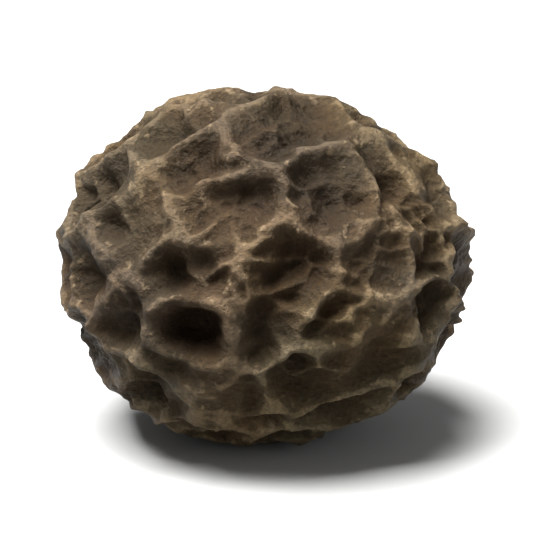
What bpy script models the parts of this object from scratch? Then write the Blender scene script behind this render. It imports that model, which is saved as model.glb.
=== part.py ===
"""A black peppercorn: one dried fruit, a little wider than high, whose dark skin has shrunk into a raised net
of folds.

Lengths are in millimetres until the mesh is made in metres. +Z is up. The fruit lies on a small flat spot
round the origin. The scar of its stalk faces -Y and a little -X, and its blunt tip is opposite.
"""

import random

import bmesh
import bpy
import numpy as np
from mathutils import Vector, noise

MM = 0.001
NODE = "peppercorn"

# Round body
BODY_RADIUS = 2.55
BODY_STRETCH = (1.10, 1.0, 0.93)
LUMP_HEIGHT = 0.12
LUMP_RATE = 1.1
SWELL_HEIGHT = 0.08
SWELL_RATE = 3.6
# Mean radius that turns an angle on the body into a length along the skin
SKIN_RADIUS = 2.4

# Folds: hollows sunk between raised crests. Reaches, widths and bends are in body radii.
HOLLOW_COUNT = 90
HOLLOW_DEPTH = 0.38
SHALLOW_SHARE = 0.45
JOINED_SHARE = 0.4
JOINED_LENGTH = 0.5
CREST_WIDTH = 0.045
CREST_REACH = 0.055
REACH_CHANGE = 0.7
REACH_RATE = 2.3
DEPTH_RATE = 2.4
DEPTH_RANGE = (-0.35, 0.2)
BEND_WIDE = 0.1
BEND_WIDE_RATE = 3.0
BEND_FINE = 0.04
BEND_FINE_RATE = 8.0
HOLLOW_SEED = 44
# Where crests meet, their heights blend: the sharper, the less they add up, and never past the ceiling
CREST_SHARPNESS = 5
CREST_CEILING = 1.12
# Directions drawn for each hollow, of which the one furthest from the rest is kept
DRAWS_EACH = 12
# A trench's mate is sought towards the stalk: gaps count this much sideways, and less by the gain that way
LEAN_SIDEWAYS = 1.35
LEAN_GAIN = 0.5

# Scar of the stalk: an uneven collar round a pit that is a little wider than high, with a nub on its floor
STALK_DIRECTION = (-0.33, -0.94, -0.06)
SCAR_FLATNESS = 0.25
SCAR_INNER = 0.46
SCAR_OUTER = 0.86
SCAR_WAVER = 0.12
SCAR_WAVER_RATE = 5.0
SCAR_RIPPLE = 0.05
SCAR_RIPPLE_RATE = 14.0
COLLAR_RADIUS = 0.56
COLLAR_WIDTH = 0.13
COLLAR_HEIGHT = 0.17
COLLAR_RATE = 6.0
COLLAR_RANGE = (-0.25, 0.25)
SCAR_LEVEL = -0.12
PIT_DEPTH = 0.42
PIT_FLOOR_RADIUS = 0.20
NUB_HEIGHT = 0.10
NUB_RADIUS = 0.12

# Blunt tip opposite the stalk
TIP_INNER = 0.25
TIP_OUTER = 0.55
TIP_LEVEL = -0.10
TIP_HEIGHT = 0.16
TIP_RADIUS = 0.20

# Flat spot under the body
SPOT_INNER = 0.62
SPOT_OUTER = 1.0
SPOT_LEVEL = -0.02
SPOT_BELOW_CENTRE = 2.30
SPOT_BLEND = 0.015
SPOT_TOLERANCE = 0.004

# Where in the noise each uneven feature is read, so that no two are alike
BEND_WIDE_PLACE = 3.1
BEND_FINE_PLACE = 9.4
REACH_PLACE = 17.0
DEPTH_PLACE = 21.0
SCAR_WAVER_PLACE = 33.0
SCAR_RIPPLE_PLACE = 35.0
COLLAR_PLACE = 41.0
LUMP_PLACE = 61.0
SWELL_PLACE = 67.0
PLACES_APART = (0, 31.7, 73.9)

# Mesh: a fine round grid, thinned so that most triangles lie along the folds
GRID_CUTS = 63
TRIANGLES = 11800

SKIN_COLOUR = (0.060, 0.042, 0.027, 1.0)
SKIN_ROUGHNESS = 0.6


def unit(vectors):
    return vectors / np.linalg.norm(vectors, axis=-1, keepdims=True)


def round_grid(cuts):
    """Directions spread over a sphere, and the triangles between them."""
    grid = bmesh.new()
    bmesh.ops.create_icosphere(grid, subdivisions=1, radius=1.0)
    bmesh.ops.subdivide_edges(grid, edges=grid.edges, cuts=cuts, use_grid_fill=True)
    directions = unit(np.array([vert.co for vert in grid.verts]))
    faces = [[vert.index for vert in face.verts] for face in grid.faces]
    grid.free()
    return directions, faces


def smooth_noise(points, rate, place):
    places = points * rate + np.array([place, -1.7 * place, 0.6 * place])
    return np.array([noise.noise(Vector(one)) for one in places])


def bent(points, amount, rate, place):
    """The vectors that a smooth noise pushes the points by."""
    return amount * np.stack([smooth_noise(points, rate, place + apart) for apart in PLACES_APART], axis=1)


def smoothstep(low, high, value):
    part = np.clip((value - low) / (high - low), 0, 1)
    return part * part * (3 - 2 * part)


def smooth_max(first, second, blend):
    overlap = np.clip(blend - np.abs(first - second), 0, None) / blend
    return np.maximum(first, second) + overlap * overlap * blend / 4


def spread_directions(count, draw):
    """Directions that keep apart: each is the one furthest from the rest out of a few drawn."""
    found = []
    while len(found) < count:
        drawn = [unit(np.array([draw.gauss(0, 1) for _ in range(3)])) for _ in range(DRAWS_EACH)]
        gaps = [min((np.linalg.norm(one - other) for other in found), default=2) for one in drawn]
        found.append(drawn[gaps.index(max(gaps))])
    return np.array(found)


def hollow_lines(count, joined_share, longest, seed):
    """The floor line of each hollow. Some join two neighbours into a trench that runs towards the stalk."""
    draw = random.Random(seed)
    places = spread_directions(count, draw)
    stalk = unit(np.array(STALK_DIRECTION))
    free = set(range(count))
    lines = []
    for one in range(count):
        if one not in free:
            continue
        free.discard(one)
        mate = one
        if draw.random() < joined_share and free:
            towards = unit(stalk - places[one] * (stalk @ places[one]))
            steps = {other: places[other] - places[one] for other in sorted(free)}
            gaps = {other: np.linalg.norm(step) for other, step in steps.items()}
            leans = {other: abs(steps[other] @ towards) / gaps[other] for other in steps}
            nearest = min(steps, key=lambda other: gaps[other] * (LEAN_SIDEWAYS - LEAN_GAIN * leans[other]))
            if gaps[nearest] < longest:
                free.discard(nearest)
                mate = nearest
        lines.append((places[one], places[mate]))
    return np.array(lines)


def nearest_lines(points, lines):
    """Distances from each point to its five nearest floor lines, the nearest first."""
    starts = lines[:, 0]
    runs = lines[:, 1] - starts
    squares = np.maximum((runs**2).sum(axis=1), 1e-12)
    found = np.empty((len(points), 5))
    for first in range(0, len(points), 6000):
        away = points[first : first + 6000, None, :] - starts[None]
        along = np.clip((away * runs[None]).sum(axis=2) / squares, 0, 1)
        gaps = np.linalg.norm(away - along[:, :, None] * runs[None], axis=2)
        found[first : first + 6000] = np.sort(np.partition(gaps, 5, axis=1)[:, :5], axis=1)
    return found


def fold_net(points, lines, width, reach):
    """1 along the crests, which lie midway between floor lines, and falling to 0 in the hollows."""
    gaps = nearest_lines(points, lines)
    from_crest = (gaps[:, 1:] - gaps[:, :1]) / 2
    crests = np.exp(-(np.sqrt(from_crest**2 + width**2) - width) / reach)
    meeting = np.sum(crests**CREST_SHARPNESS, axis=1) ** (1 / CREST_SHARPNESS)
    return np.minimum(meeting, CREST_CEILING)


def folded_skin(directions):
    """Height of the skin over the round body, which the crests of the folds touch."""
    bend = bent(directions, BEND_WIDE, BEND_WIDE_RATE, BEND_WIDE_PLACE)
    bend += bent(directions, BEND_FINE, BEND_FINE_RATE, BEND_FINE_PLACE)
    lines = hollow_lines(HOLLOW_COUNT, JOINED_SHARE, JOINED_LENGTH, HOLLOW_SEED)
    reach = CREST_REACH * (1 + REACH_CHANGE * smooth_noise(directions, REACH_RATE, REACH_PLACE))
    crests = fold_net(unit(directions + bend), lines, CREST_WIDTH, reach[:, None])
    depth_share = smoothstep(*DEPTH_RANGE, smooth_noise(directions, DEPTH_RATE, DEPTH_PLACE))
    depth = HOLLOW_DEPTH * (SHALLOW_SHARE + (1 - SHALLOW_SHARE) * depth_share)
    return -depth * (1 - crests)


def along_skin(directions, target):
    """Length along the skin from the target direction to each direction."""
    return SKIN_RADIUS * np.arccos(np.clip(directions @ unit(np.array(target)), -1, 1))


def with_stalk_scar(directions, height):
    waver = SCAR_WAVER * smooth_noise(directions, SCAR_WAVER_RATE, SCAR_WAVER_PLACE)
    waver += SCAR_RIPPLE * smooth_noise(directions, SCAR_RIPPLE_RATE, SCAR_RIPPLE_PLACE)
    rise = SKIN_RADIUS * (directions[:, 2] - unit(np.array(STALK_DIRECTION))[2])
    away = np.sqrt(along_skin(directions, STALK_DIRECTION) ** 2 + SCAR_FLATNESS * rise**2) + waver
    inside = 1 - smoothstep(SCAR_INNER, SCAR_OUTER, away)
    uneven = (1 + smoothstep(*COLLAR_RANGE, smooth_noise(directions, COLLAR_RATE, COLLAR_PLACE))) / 2
    collar = SCAR_LEVEL + COLLAR_HEIGHT * uneven * np.exp(-(((away - COLLAR_RADIUS) / COLLAR_WIDTH) ** 2))
    pit = -PIT_DEPTH * (1 - smoothstep(PIT_FLOOR_RADIUS, SCAR_INNER, away))
    nub = NUB_HEIGHT * np.exp(-((away / NUB_RADIUS) ** 2))
    return height * (1 - inside) + collar * inside + pit + nub


def with_blunt_tip(directions, height):
    away = along_skin(directions, [-part for part in STALK_DIRECTION])
    inside = 1 - smoothstep(TIP_INNER, TIP_OUTER, away)
    tip = TIP_LEVEL + TIP_HEIGHT * np.exp(-((away / TIP_RADIUS) ** 2))
    return height * (1 - inside) + tip * inside


def fruit_points(directions):
    """Points of the skin in millimetres, with the flat spot at height 0."""
    height = with_blunt_tip(directions, with_stalk_scar(directions, folded_skin(directions)))
    underneath = 1 - smoothstep(SPOT_INNER, SPOT_OUTER, along_skin(directions, (0, 0, -1)))
    height = height * (1 - underneath) + SPOT_LEVEL * underneath
    lumps = LUMP_HEIGHT * smooth_noise(directions, LUMP_RATE, LUMP_PLACE)
    lumps += SWELL_HEIGHT * smooth_noise(directions, SWELL_RATE, SWELL_PLACE)
    height += lumps * (1 - underneath)
    points = directions * (BODY_RADIUS + height)[:, None] * np.array(BODY_STRETCH)
    points[:, 2] = smooth_max(points[:, 2], np.full(len(points), -SPOT_BELOW_CENTRE), SPOT_BLEND)
    points[:, 2] -= points[:, 2].min()
    return points


def skin_material():
    material = bpy.data.materials.new("skin")
    material.use_nodes = True
    shader = material.node_tree.nodes["Principled BSDF"]
    shader.inputs["Base Color"].default_value = SKIN_COLOUR
    shader.inputs["Roughness"].default_value = SKIN_ROUGHNESS
    shader.inputs["Metallic"].default_value = 0.0
    material.diffuse_color = SKIN_COLOUR
    return material


def thinned(fruit, share):
    """The object's mesh with only this share of its triangles, kept where the skin bends most."""
    thinning = fruit.modifiers.new("thinning", "DECIMATE")
    thinning.ratio = share
    bpy.context.view_layer.update()
    mesh = bpy.data.meshes.new_from_object(fruit.evaluated_get(bpy.context.evaluated_depsgraph_get()))
    fruit.modifiers.remove(thinning)
    return mesh


def settle_on_origin(mesh):
    """Levels the flat spot at height 0 and centres the fruit's box over the origin."""
    points = np.array([vert.co for vert in mesh.vertices])
    points[points[:, 2] < SPOT_TOLERANCE * MM, 2] = 0
    points[:, :2] -= (points[:, :2].min(axis=0) + points[:, :2].max(axis=0)) / 2
    mesh.vertices.foreach_set("co", points.astype(np.float32).ravel())
    mesh.update()


def make_peppercorn():
    directions, faces = round_grid(GRID_CUTS)
    mesh = bpy.data.meshes.new(NODE)
    mesh.from_pydata((fruit_points(directions) * MM).tolist(), [], faces)
    fruit = bpy.data.objects.new(NODE, mesh)
    bpy.context.collection.objects.link(fruit)
    fruit.data = thinned(fruit, TRIANGLES / len(faces))
    fruit.data.name = NODE
    settle_on_origin(fruit.data)
    fruit.data.shade_smooth()
    fruit.data.materials.clear()
    fruit.data.materials.append(skin_material())
    return fruit


for thing in list(bpy.data.objects):
    bpy.data.objects.remove(thing)
make_peppercorn()
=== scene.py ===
import math
import random

import bmesh
import bpy
import numpy as np
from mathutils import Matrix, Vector, noise


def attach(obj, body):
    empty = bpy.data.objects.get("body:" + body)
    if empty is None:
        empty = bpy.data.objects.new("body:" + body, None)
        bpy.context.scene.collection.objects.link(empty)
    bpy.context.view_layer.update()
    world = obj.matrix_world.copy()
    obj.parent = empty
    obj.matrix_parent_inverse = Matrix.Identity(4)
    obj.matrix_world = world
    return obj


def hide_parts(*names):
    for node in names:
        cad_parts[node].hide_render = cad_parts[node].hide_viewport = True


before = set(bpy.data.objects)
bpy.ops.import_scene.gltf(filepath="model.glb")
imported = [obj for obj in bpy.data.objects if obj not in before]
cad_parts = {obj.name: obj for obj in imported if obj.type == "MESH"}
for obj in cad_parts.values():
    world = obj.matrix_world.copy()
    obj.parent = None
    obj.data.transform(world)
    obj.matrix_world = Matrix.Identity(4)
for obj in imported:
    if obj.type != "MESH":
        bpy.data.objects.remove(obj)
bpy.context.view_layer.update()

MM = 0.001

# Round body, in millimetres
BODY_RADIUS = 2.55
BODY_STRETCH = (1.10, 1.0, 0.93)
LUMP_HEIGHT = 0.12
LUMP_RATE = 1.1
SWELL_HEIGHT = 0.08
SWELL_RATE = 3.6
# Mean radius that turns an angle on the body into a length along the skin
SKIN_RADIUS = 2.4

# Large folds: hollows sunk between raised crests. Reaches, widths and bends are in body radii.
HOLLOW_COUNT = 90
HOLLOW_DEPTH = 0.38
SHALLOW_SHARE = 0.45
JOINED_SHARE = 0.4
JOINED_LENGTH = 0.5
CREST_WIDTH = 0.045
CREST_REACH = 0.055
REACH_CHANGE = 0.7
REACH_RATE = 2.3
DEPTH_RATE = 2.4
DEPTH_RANGE = (-0.35, 0.2)
BEND_WIDE = 0.1
BEND_WIDE_RATE = 3.0
BEND_FINE = 0.04
BEND_FINE_RATE = 8.0
HOLLOW_SEED = 44

# Small folds, deepest inside the hollows. The solid part leaves them out, and the creases and grain too.
WRINKLE_COUNT = 400
WRINKLE_DEPTH = 0.20
WRINKLE_LENGTH = 0.25
WRINKLE_JOINED_SHARE = 0.7
WRINKLE_WIDTH = 0.012
WRINKLE_REACH = 0.030
WRINKLE_BEND = 0.045
WRINKLE_BEND_RATE = 7.0
WRINKLE_DEPTH_RATE = 3.1
WRINKLE_DEPTH_RANGE = (-0.3, 0.4)
WRINKLE_SEED = 41
# Share of the small folds' height that lies at the large folds' own surface
WRINKLE_LEVEL = 0.5
# Share of their depth that is left on the large folds' crests
WRINKLE_ON_CREST = 0.45

# Fine creases and grain
CREASE_COUNT = 1500
CREASE_DEPTH = 0.05
CREASE_LENGTH = 0.14
CREASE_JOINED_SHARE = 0.8
CREASE_WIDTH = 0.006
CREASE_REACH = 0.014
CREASE_BEND = 0.015
CREASE_BEND_RATE = 16.0
CREASE_DEPTH_RATE = 4.3
CREASE_DEPTH_RANGE = (-0.4, 0.3)
CREASE_SEED = 43
CREASE_LEVEL = 0.5
# Share of their depth that doesn't follow the small folds' depth
CREASE_EVENNESS = 0.5
GRAIN_HEIGHT = 0.008
GRAIN_RATE = 34.0

# Where crests meet, their heights blend: the sharper, the less they add up, and never past the ceiling
CREST_SHARPNESS = 5
FINE_SHARPNESS = 4
CREST_CEILING = 1.12
# Floor lines that a point looks at to find its crests, and points worked on at once
LINES_NEAR = 5
POINTS_AT_ONCE = 2000
# Directions drawn for each hollow, of which the one furthest from the rest is kept
DRAWS_EACH = 12
# A trench's mate is sought towards the stalk: gaps count this much sideways, and less by the gain that way
LEAN_SIDEWAYS = 1.35
LEAN_GAIN = 0.5

# Scar of the stalk: an uneven collar round a pit that is a little wider than high, with a nub on its floor
STALK_DIRECTION = (-0.33, -0.94, -0.06)
SCAR_FLATNESS = 0.25
SCAR_INNER = 0.46
SCAR_OUTER = 0.86
SCAR_WAVER = 0.12
SCAR_WAVER_RATE = 5.0
SCAR_RIPPLE = 0.05
SCAR_RIPPLE_RATE = 14.0
COLLAR_RADIUS = 0.56
COLLAR_WIDTH = 0.13
COLLAR_HEIGHT = 0.17
COLLAR_RATE = 6.0
COLLAR_RANGE = (-0.25, 0.25)
SCAR_LEVEL = -0.12
PIT_DEPTH = 0.42
PIT_FLOOR_RADIUS = 0.20
NUB_HEIGHT = 0.10
NUB_RADIUS = 0.12

# Blunt tip opposite the stalk
TIP_INNER = 0.25
TIP_OUTER = 0.55
TIP_LEVEL = -0.10
TIP_HEIGHT = 0.16
TIP_RADIUS = 0.20

# Flat spot under the body
SPOT_INNER = 0.62
SPOT_OUTER = 1.0
SPOT_LEVEL = -0.02
SPOT_BELOW_CENTRE = 2.30
SPOT_BLEND = 0.015

# Where in the noise each uneven feature is read, so that no two are alike
BEND_WIDE_PLACE = 3.1
BEND_FINE_PLACE = 9.4
WRINKLE_BEND_PLACE = 13.1
REACH_PLACE = 17.0
DEPTH_PLACE = 21.0
CREASE_BEND_PLACE = 23.7
SCAR_WAVER_PLACE = 33.0
SCAR_RIPPLE_PLACE = 35.0
COLLAR_PLACE = 41.0
GRAIN_PLACE = 51.0
LUMP_PLACE = 61.0
SWELL_PLACE = 67.0
WRINKLE_DEPTH_PLACE = 71.0
CREASE_DEPTH_PLACE = 83.0
PLACES_APART = (0, 31.7, 73.9)
PLACE_LINE = (1.0, -1.7, 0.6)

GRID_CUTS = 95

# Tints that the skin's points carry: the small folds with the creases, and the scar by its distance
# The small folds' tint is low in their hollows, where the skin's colour paints shade
WRINKLE_TINT = 0.7
CREASE_TINT = 0.3
# The scar's tint covers the pit: its reddish brown, darkened into painted shade
SCAR_TINT_AND_PIT_SHADE_RANGE = (0.22, 0.56)

# Noises in the skin's material: scale per metre, detail and roughness
SIDE_NOISE = (260, 2, 0.55)
PATCH_NOISE = (800, 4, 0.55)
BLOTCH_NOISE = (2600, 5, 0.55)
FLECK_NOISE = (6500, 3, 0.6)
GRAIN_NOISE = (16000, 5, 0.7)
NOISE_MIDDLE = 0.5
PORE_SCALE = 11000

# Colours by relief, from the hollows' floors at 0 to the worn crests at 1, and how far the noise and the
# small folds move the relief. The darkening towards the floors of the hollows and of the small folds is
# painted shade, and the lighter crests are their wear
WARM_TONES = [
    (0.05, (0.0125, 0.0070, 0.0027)),
    (0.40, (0.0190, 0.0114, 0.0049)),
    (0.70, (0.0262, 0.0170, 0.0081)),
    (0.92, (0.0370, 0.0255, 0.0133)),
    (1.0, (0.0760, 0.0560, 0.0330)),
]
GREY_TONES = [
    (0.05, (0.0100, 0.0067, 0.0030)),
    (0.40, (0.0150, 0.0106, 0.0054)),
    (0.70, (0.0206, 0.0156, 0.0090)),
    (0.92, (0.0290, 0.0227, 0.0140)),
    (1.0, (0.0600, 0.0480, 0.0320)),
]
BLOTCH_RELIEF = 0.5
WRINKLE_RELIEF = 0.25
WRINKLE_MIDDLE = 0.6

# What the noises do to those colours, from their low values to their high ones
GREY_PATCHES = [(0.42, (0, 0, 0)), (0.60, (1, 1, 1))]
SIDE_TONES = [(0.38, (0.79, 0.73, 0.75)), (0.62, (1.24, 1.23, 1.11))]
SPECKLE_TONES = [(0.35, (0.60, 0.60, 0.60)), (0.65, (1.38, 1.32, 1.22))]
SPECKLE_SHARE = 0.85
WORN_FLECKS = [(0.60, (0, 0, 0)), (0.68, (1, 1, 1))]
WORN_CRESTS = [(0.55, (0, 0, 0)), (0.95, (0.6, 0.6, 0.6))]
WORN_COLOUR = (0.150, 0.108, 0.064, 1)
# Reddish brown of the scar, darkened into painted shade over the pit
SCAR_TINT_AND_PIT_SHADE = (0.0095, 0.0042, 0.0014, 1)
SCAR_TINT_AND_PIT_SHADE_SHARE = 0.92

# Dull sheen and fine bumps of the skin
SKIN_SPECULAR = 0.12
SKIN_SPECULAR_TINT = (1.0, 0.88, 0.74, 1)
ROUGHNESS = 0.56
ROUGHNESS_CHANGE = 0.5
CREST_POLISH = 0.05
PORE_SHARE = 0.35
FLECK_SHARE = 0.8
BUMP_STRENGTH = 0.9
BUMP_HEIGHT = 0.06 * MM

# Plain round floor, in metres
FLOOR_RADIUS = 0.10
FLOOR_SIDES = 96
FLOOR_COLOUR = (0.25, 0.25, 0.247, 1)
FLOOR_ROUGHNESS = 0.9

# Camera, lights and sky
CAMERA_AIM = (0, 0, 0.0023)
CAMERA_CLIPS = (0.001, 10)
LIGHT_AIM = (0, 0, 0.0024)
SKY_COLOUR = (1, 1, 1, 1)
SKY_STRENGTH = 0.40


def unit(vectors):
    return vectors / np.linalg.norm(vectors, axis=-1, keepdims=True)


def round_grid(cuts):
    """Directions spread over a sphere, and the triangles between them."""
    grid = bmesh.new()
    bmesh.ops.create_icosphere(grid, subdivisions=1, radius=1.0)
    bmesh.ops.subdivide_edges(grid, edges=grid.edges, cuts=cuts, use_grid_fill=True)
    directions = unit(np.array([vert.co for vert in grid.verts]))
    faces = [[vert.index for vert in face.verts] for face in grid.faces]
    grid.free()
    return directions, faces


def smooth_noise(points, rate, place):
    places = points * rate + place * np.array(PLACE_LINE)
    return np.array([noise.noise(Vector(one)) for one in places])


def bent(points, amount, rate, place):
    """The vectors that a smooth noise pushes the points by."""
    return amount * np.stack([smooth_noise(points, rate, place + apart) for apart in PLACES_APART], axis=1)


def smoothstep(low, high, value):
    part = np.clip((value - low) / (high - low), 0, 1)
    return part * part * (3 - 2 * part)


def smooth_max(first, second, blend):
    overlap = np.clip(blend - np.abs(first - second), 0, None) / blend
    return np.maximum(first, second) + overlap * overlap * blend / 4


def spread_directions(count, draw):
    """Directions that keep apart: each is the one furthest from the rest out of a few drawn."""
    found = np.empty((count, 3))
    for made in range(count):
        drawn = unit(np.array([[draw.gauss(0, 1) for _ in range(3)] for _ in range(DRAWS_EACH)]))
        gaps = np.linalg.norm(drawn[:, None] - found[None, :made], axis=2).min(axis=1, initial=2)
        found[made] = drawn[np.argmax(gaps)]
    return found


def hollow_lines(count, joined_share, longest, seed):
    """The floor line of each hollow. Some join two neighbours into a trench that runs towards the stalk."""
    draw = random.Random(seed)
    places = spread_directions(count, draw)
    stalk = unit(np.array(STALK_DIRECTION))
    free = np.ones(count, dtype=bool)
    lines = []
    for one in range(count):
        if not free[one]:
            continue
        free[one] = False
        mate = one
        if draw.random() < joined_share and free.any():
            towards = unit(stalk - places[one] * (stalk @ places[one]))
            others = np.flatnonzero(free)
            steps = places[others] - places[one]
            gaps = np.linalg.norm(steps, axis=1)
            leans = np.abs(steps @ towards) / gaps
            nearest = np.argmin(gaps * (LEAN_SIDEWAYS - LEAN_GAIN * leans))
            if gaps[nearest] < longest:
                mate = others[nearest]
                free[mate] = False
        lines.append((places[one], places[mate]))
    return np.array(lines)


def nearest_lines(points, lines):
    """Distances from each point to its few nearest floor lines, the nearest first."""
    starts = lines[:, 0]
    runs = lines[:, 1] - starts
    squares = np.maximum((runs**2).sum(axis=1), 1e-12)
    found = np.empty((len(points), LINES_NEAR))
    for first in range(0, len(points), POINTS_AT_ONCE):
        block = slice(first, first + POINTS_AT_ONCE)
        away = points[block, None, :] - starts[None]
        along = np.clip((away * runs[None]).sum(axis=2) / squares, 0, 1)
        gaps = np.linalg.norm(away - along[:, :, None] * runs[None], axis=2)
        found[block] = np.sort(np.partition(gaps, LINES_NEAR, axis=1)[:, :LINES_NEAR], axis=1)
    return found


def fold_net(points, lines, width, reach, sharpness):
    """1 along the crests, which lie midway between floor lines, and falling to 0 in the hollows."""
    gaps = nearest_lines(points, lines)
    from_crest = (gaps[:, 1:] - gaps[:, :1]) / 2
    crests = np.exp(-(np.sqrt(from_crest**2 + width**2) - width) / reach)
    meeting = np.sum(crests**sharpness, axis=1) ** (1 / sharpness)
    return np.minimum(meeting, CREST_CEILING)


def large_folds(directions):
    bend = bent(directions, BEND_WIDE, BEND_WIDE_RATE, BEND_WIDE_PLACE)
    bend += bent(directions, BEND_FINE, BEND_FINE_RATE, BEND_FINE_PLACE)
    lines = hollow_lines(HOLLOW_COUNT, JOINED_SHARE, JOINED_LENGTH, HOLLOW_SEED)
    reach = CREST_REACH * (1 + REACH_CHANGE * smooth_noise(directions, REACH_RATE, REACH_PLACE))
    return fold_net(unit(directions + bend), lines, CREST_WIDTH, reach[:, None], CREST_SHARPNESS)


def small_folds(directions):
    bend = bent(directions, WRINKLE_BEND, WRINKLE_BEND_RATE, WRINKLE_BEND_PLACE)
    lines = hollow_lines(WRINKLE_COUNT, WRINKLE_JOINED_SHARE, WRINKLE_LENGTH, WRINKLE_SEED)
    return fold_net(unit(directions + bend), lines, WRINKLE_WIDTH, WRINKLE_REACH, FINE_SHARPNESS)


def fine_creases(directions):
    bend = bent(directions, CREASE_BEND, CREASE_BEND_RATE, CREASE_BEND_PLACE)
    lines = hollow_lines(CREASE_COUNT, CREASE_JOINED_SHARE, CREASE_LENGTH, CREASE_SEED)
    return fold_net(unit(directions + bend), lines, CREASE_WIDTH, CREASE_REACH, FINE_SHARPNESS)


def uneven_share(directions, noise_range, rate, place):
    """A share between 0 and 1 that changes slowly over the skin."""
    return smoothstep(*noise_range, smooth_noise(directions, rate, place))


def folded_skin(directions):
    """Height of the skin over the round body, and how near each point is to a small fold or crease."""
    crests = large_folds(directions)
    depth_share = uneven_share(directions, DEPTH_RANGE, DEPTH_RATE, DEPTH_PLACE)
    depth = HOLLOW_DEPTH * (SHALLOW_SHARE + (1 - SHALLOW_SHARE) * depth_share)
    height = -depth * (1 - crests)

    wrinkles = small_folds(directions)
    wrinkle_share = uneven_share(directions, WRINKLE_DEPTH_RANGE, WRINKLE_DEPTH_RATE, WRINKLE_DEPTH_PLACE)
    in_hollow = WRINKLE_ON_CREST + (1 - WRINKLE_ON_CREST) * (1 - crests)
    height += WRINKLE_DEPTH * wrinkle_share * (wrinkles - WRINKLE_LEVEL) * in_hollow

    creases = fine_creases(directions)
    crease_share = uneven_share(directions, CREASE_DEPTH_RANGE, CREASE_DEPTH_RATE, CREASE_DEPTH_PLACE)
    evenly = CREASE_EVENNESS + (1 - CREASE_EVENNESS) * in_hollow
    height += CREASE_DEPTH * crease_share * (creases - CREASE_LEVEL) * evenly
    height += GRAIN_HEIGHT * smooth_noise(directions, GRAIN_RATE, GRAIN_PLACE)
    return height, wrinkles, creases


def along_skin(directions, target):
    """Length along the skin from the target direction to each direction."""
    return SKIN_RADIUS * np.arccos(np.clip(directions @ unit(np.array(target)), -1, 1))


def with_stalk_scar(directions, height):
    """The height with the scar in it, and the distance from the scar's centre."""
    waver = SCAR_WAVER * smooth_noise(directions, SCAR_WAVER_RATE, SCAR_WAVER_PLACE)
    waver += SCAR_RIPPLE * smooth_noise(directions, SCAR_RIPPLE_RATE, SCAR_RIPPLE_PLACE)
    rise = SKIN_RADIUS * (directions[:, 2] - unit(np.array(STALK_DIRECTION))[2])
    away = np.sqrt(along_skin(directions, STALK_DIRECTION) ** 2 + SCAR_FLATNESS * rise**2) + waver
    inside = 1 - smoothstep(SCAR_INNER, SCAR_OUTER, away)
    uneven = (1 + uneven_share(directions, COLLAR_RANGE, COLLAR_RATE, COLLAR_PLACE)) / 2
    collar = SCAR_LEVEL + COLLAR_HEIGHT * uneven * np.exp(-(((away - COLLAR_RADIUS) / COLLAR_WIDTH) ** 2))
    pit = -PIT_DEPTH * (1 - smoothstep(PIT_FLOOR_RADIUS, SCAR_INNER, away))
    nub = NUB_HEIGHT * np.exp(-((away / NUB_RADIUS) ** 2))
    return height * (1 - inside) + collar * inside + pit + nub, away


def with_blunt_tip(directions, height):
    away = along_skin(directions, [-part for part in STALK_DIRECTION])
    inside = 1 - smoothstep(TIP_INNER, TIP_OUTER, away)
    tip = TIP_LEVEL + TIP_HEIGHT * np.exp(-((away / TIP_RADIUS) ** 2))
    return height * (1 - inside) + tip * inside


def fruit_skin(directions):
    """Points of the skin in millimetres, centred over the origin with the flat spot at height 0, and the
    tints that they carry."""
    height, wrinkles, creases = folded_skin(directions)
    height, from_scar = with_stalk_scar(directions, height)
    height = with_blunt_tip(directions, height)
    underneath = 1 - smoothstep(SPOT_INNER, SPOT_OUTER, along_skin(directions, (0, 0, -1)))
    height = height * (1 - underneath) + SPOT_LEVEL * underneath
    # The crest tint is low on the hollows' floors, where the skin's colour paints shade
    tints = {
        "crest": np.clip(1 + height / HOLLOW_DEPTH, 0, 1),
        # The wrinkle tint is low in the small folds' and creases' hollows, where the colour paints shade
        "wrinkle": np.clip(WRINKLE_TINT * wrinkles + CREASE_TINT * creases, 0, 1),
        # The scar tint covers the pit, which the colour darkens with painted shade
        "scar": 1 - smoothstep(*SCAR_TINT_AND_PIT_SHADE_RANGE, from_scar),
    }

    lumps = LUMP_HEIGHT * smooth_noise(directions, LUMP_RATE, LUMP_PLACE)
    lumps += SWELL_HEIGHT * smooth_noise(directions, SWELL_RATE, SWELL_PLACE)
    height += lumps * (1 - underneath)
    points = directions * (BODY_RADIUS + height)[:, None] * np.array(BODY_STRETCH)
    points[:, 2] = smooth_max(points[:, 2], np.full(len(points), -SPOT_BELOW_CENTRE), SPOT_BLEND)
    points[:, 2] -= points[:, 2].min()
    points[:, :2] -= (points[:, :2].min(axis=0) + points[:, :2].max(axis=0)) / 2
    return points, tints


def feed(tree, socket, value):
    """Links the value if it comes out of a node, and sets it otherwise."""
    if isinstance(value, bpy.types.NodeSocket):
        tree.links.new(value, socket)
    else:
        socket.default_value = value


def sums(tree, operation, first, second):
    node = tree.nodes.new("ShaderNodeMath")
    node.operation = operation
    feed(tree, node.inputs[0], first)
    feed(tree, node.inputs[1], second)
    return node.outputs[0]


def swing(tree, value, middle, gain):
    """How far the value is from its middle, times the gain."""
    return sums(tree, "MULTIPLY", sums(tree, "SUBTRACT", value, middle), gain)


def ramp(tree, factor, stops):
    node = tree.nodes.new("ShaderNodeValToRGB")
    tree.links.new(factor, node.inputs[0])
    bands = node.color_ramp.elements
    while len(bands) < len(stops):
        bands.new(1.0)
    for band, (place, colour) in zip(bands, stops):
        band.position = place
        band.color = (*colour, 1)
    return node.outputs[0]


def mixed(tree, factor, first, second, kind="MIX"):
    node = tree.nodes.new("ShaderNodeMix")
    node.data_type = "RGBA"
    node.blend_type = kind
    feed(tree, node.inputs[0], factor)
    feed(tree, node.inputs[6], first)
    feed(tree, node.inputs[7], second)
    return node.outputs[2]


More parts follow.
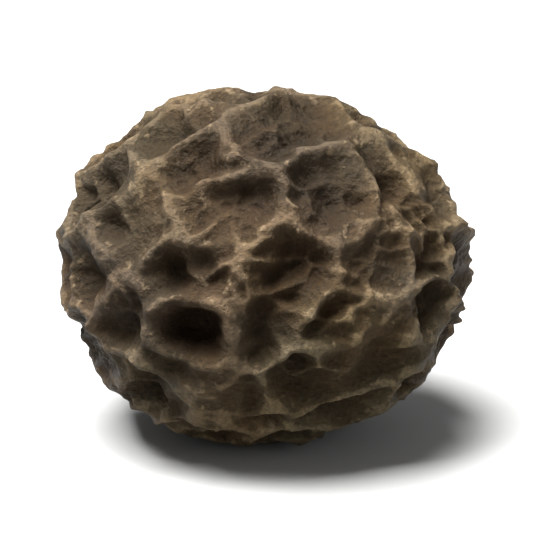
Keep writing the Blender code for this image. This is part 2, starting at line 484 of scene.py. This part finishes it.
def noise_of(tree, place, scale, detail, roughness):
    node = tree.nodes.new("ShaderNodeTexNoise")
    tree.links.new(place, node.inputs["Vector"])
    node.inputs["Scale"].default_value = scale
    node.inputs["Detail"].default_value = detail
    node.inputs["Roughness"].default_value = roughness
    return node.outputs["Fac"]


def attribute(tree, name):
    node = tree.nodes.new("ShaderNodeAttribute")
    node.attribute_name = name
    return node.outputs["Fac"]


def skin_material():
    material = bpy.data.materials.new("skin")
    material.use_nodes = True
    tree = material.node_tree
    shader = tree.nodes["Principled BSDF"]
    shader.inputs["Specular IOR Level"].default_value = SKIN_SPECULAR
    shader.inputs["Specular Tint"].default_value = SKIN_SPECULAR_TINT
    place = tree.nodes.new("ShaderNodeTexCoord").outputs["Object"]
    crest = attribute(tree, "crest")
    wrinkle = attribute(tree, "wrinkle")
    scar = attribute(tree, "scar")
    sides = noise_of(tree, place, *SIDE_NOISE)
    patches = noise_of(tree, place, *PATCH_NOISE)
    blotches = noise_of(tree, place, *BLOTCH_NOISE)
    flecks = noise_of(tree, place, *FLECK_NOISE)
    grain = noise_of(tree, place, *GRAIN_NOISE)

    # Relief: low in the hollows, where the ramps paint shade, and high on the worn crests
    relief = sums(tree, "ADD", crest, swing(tree, blotches, NOISE_MIDDLE, BLOTCH_RELIEF))
    # The small folds and creases move the relief down in their hollows: painted shade
    relief = sums(tree, "ADD", relief, swing(tree, wrinkle, WRINKLE_MIDDLE, WRINKLE_RELIEF))
    warm = ramp(tree, relief, WARM_TONES)
    grey = ramp(tree, relief, GREY_TONES)
    colour = mixed(tree, ramp(tree, patches, GREY_PATCHES), warm, grey)
    colour = mixed(tree, 1.0, colour, ramp(tree, sides, SIDE_TONES), "MULTIPLY")
    colour = mixed(tree, SPECKLE_SHARE, colour, ramp(tree, grain, SPECKLE_TONES), "MULTIPLY")
    worn = sums(tree, "MULTIPLY", ramp(tree, flecks, WORN_FLECKS), ramp(tree, crest, WORN_CRESTS))
    colour = mixed(tree, worn, colour, WORN_COLOUR)
    # Over the scar: its reddish brown, darkened to paint shade into the pit
    colour = mixed(tree, sums(tree, "MULTIPLY", scar, SCAR_TINT_AND_PIT_SHADE_SHARE), colour, SCAR_TINT_AND_PIT_SHADE)
    tree.links.new(colour, shader.inputs["Base Color"])

    rough = sums(tree, "ADD", swing(tree, blotches, NOISE_MIDDLE, ROUGHNESS_CHANGE), ROUGHNESS)
    rough = sums(tree, "SUBTRACT", rough, sums(tree, "MULTIPLY", crest, CREST_POLISH))
    tree.links.new(rough, shader.inputs["Roughness"])

    pores = tree.nodes.new("ShaderNodeTexVoronoi")
    pores.inputs["Scale"].default_value = PORE_SCALE
    tree.links.new(place, pores.inputs["Vector"])
    fine = sums(tree, "ADD", grain, sums(tree, "MULTIPLY", pores.outputs["Distance"], PORE_SHARE))
    fine = sums(tree, "ADD", fine, sums(tree, "MULTIPLY", flecks, FLECK_SHARE))
    bump = tree.nodes.new("ShaderNodeBump")
    bump.inputs["Strength"].default_value = BUMP_STRENGTH
    bump.inputs["Distance"].default_value = BUMP_HEIGHT
    tree.links.new(fine, bump.inputs["Height"])
    tree.links.new(bump.outputs["Normal"], shader.inputs["Normal"])
    return material


def put_in_scene(name, data):
    thing = bpy.data.objects.new(name, data)
    bpy.context.collection.objects.link(thing)
    return thing


def make_peppercorn():
    directions, faces = round_grid(GRID_CUTS)
    points, tints = fruit_skin(directions)
    mesh = bpy.data.meshes.new("peppercorn_skin")
    mesh.from_pydata((points * MM).tolist(), [], faces)
    for name, values in tints.items():
        mesh.attributes.new(name, "FLOAT", "POINT").data.foreach_set("value", values.astype(np.float32))
    mesh.shade_smooth()
    mesh.materials.append(skin_material())
    piece = put_in_scene("peppercorn_skin", mesh)
    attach(piece, "root")
    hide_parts("peppercorn")


def make_floor():
    turns = [2 * math.pi * part / FLOOR_SIDES for part in range(FLOOR_SIDES)]
    rim = [(FLOOR_RADIUS * math.cos(turn), FLOOR_RADIUS * math.sin(turn), 0) for turn in turns]
    mesh = bpy.data.meshes.new("floor")
    mesh.from_pydata(rim, [], [list(range(FLOOR_SIDES))])
    material = bpy.data.materials.new("floor")
    material.use_nodes = True
    shader = material.node_tree.nodes["Principled BSDF"]
    shader.inputs["Base Color"].default_value = FLOOR_COLOUR
    shader.inputs["Roughness"].default_value = FLOOR_ROUGHNESS
    mesh.materials.append(material)
    floor = put_in_scene("floor", mesh)


def make_light(name, place, side, watts):
    light = bpy.data.lights.new(name, "AREA")
    light.shape = "SQUARE"
    light.size = side
    light.energy = watts
    lamp = put_in_scene(name, light)
    lamp.location = place
    lamp.rotation_euler = (Vector(LIGHT_AIM) - Vector(place)).to_track_quat("-Z", "Y").to_euler()


def make_camera(elevation_deg, distance, lens):
    data = bpy.data.cameras.new("camera")
    data.lens = lens
    data.clip_start, data.clip_end = CAMERA_CLIPS
    camera = put_in_scene("camera", data)
    tilt = math.radians(elevation_deg)
    back = Vector((0, -math.cos(tilt), math.sin(tilt)))
    camera.location = Vector(CAMERA_AIM) + back * distance
    camera.rotation_euler = (-back).to_track_quat("-Z", "Y").to_euler()
    bpy.context.scene.camera = camera


def make_world():
    """A sky that the camera sees as white and that lights the scene more weakly."""
    world = bpy.data.worlds.new("studio")
    bpy.context.scene.world = world
    world.use_nodes = True
    tree = world.node_tree
    sky = tree.nodes["Background"]
    sky.inputs["Color"].default_value = SKY_COLOUR
    seen = tree.nodes.new("ShaderNodeLightPath").outputs["Is Camera Ray"]
    tree.links.new(sums(tree, "MAXIMUM", seen, SKY_STRENGTH), sky.inputs["Strength"])


make_camera(elevation_deg=18, distance=0.040, lens=200)
make_peppercorn()
make_floor()
make_light("key", place=(-0.15, -0.04, 0.56), side=0.36, watts=24.0)
make_light("fill", place=(0.11, -0.07, 0.05), side=0.09, watts=0.045)
make_world()
bpy.context.scene.view_settings.view_transform = "Standard"
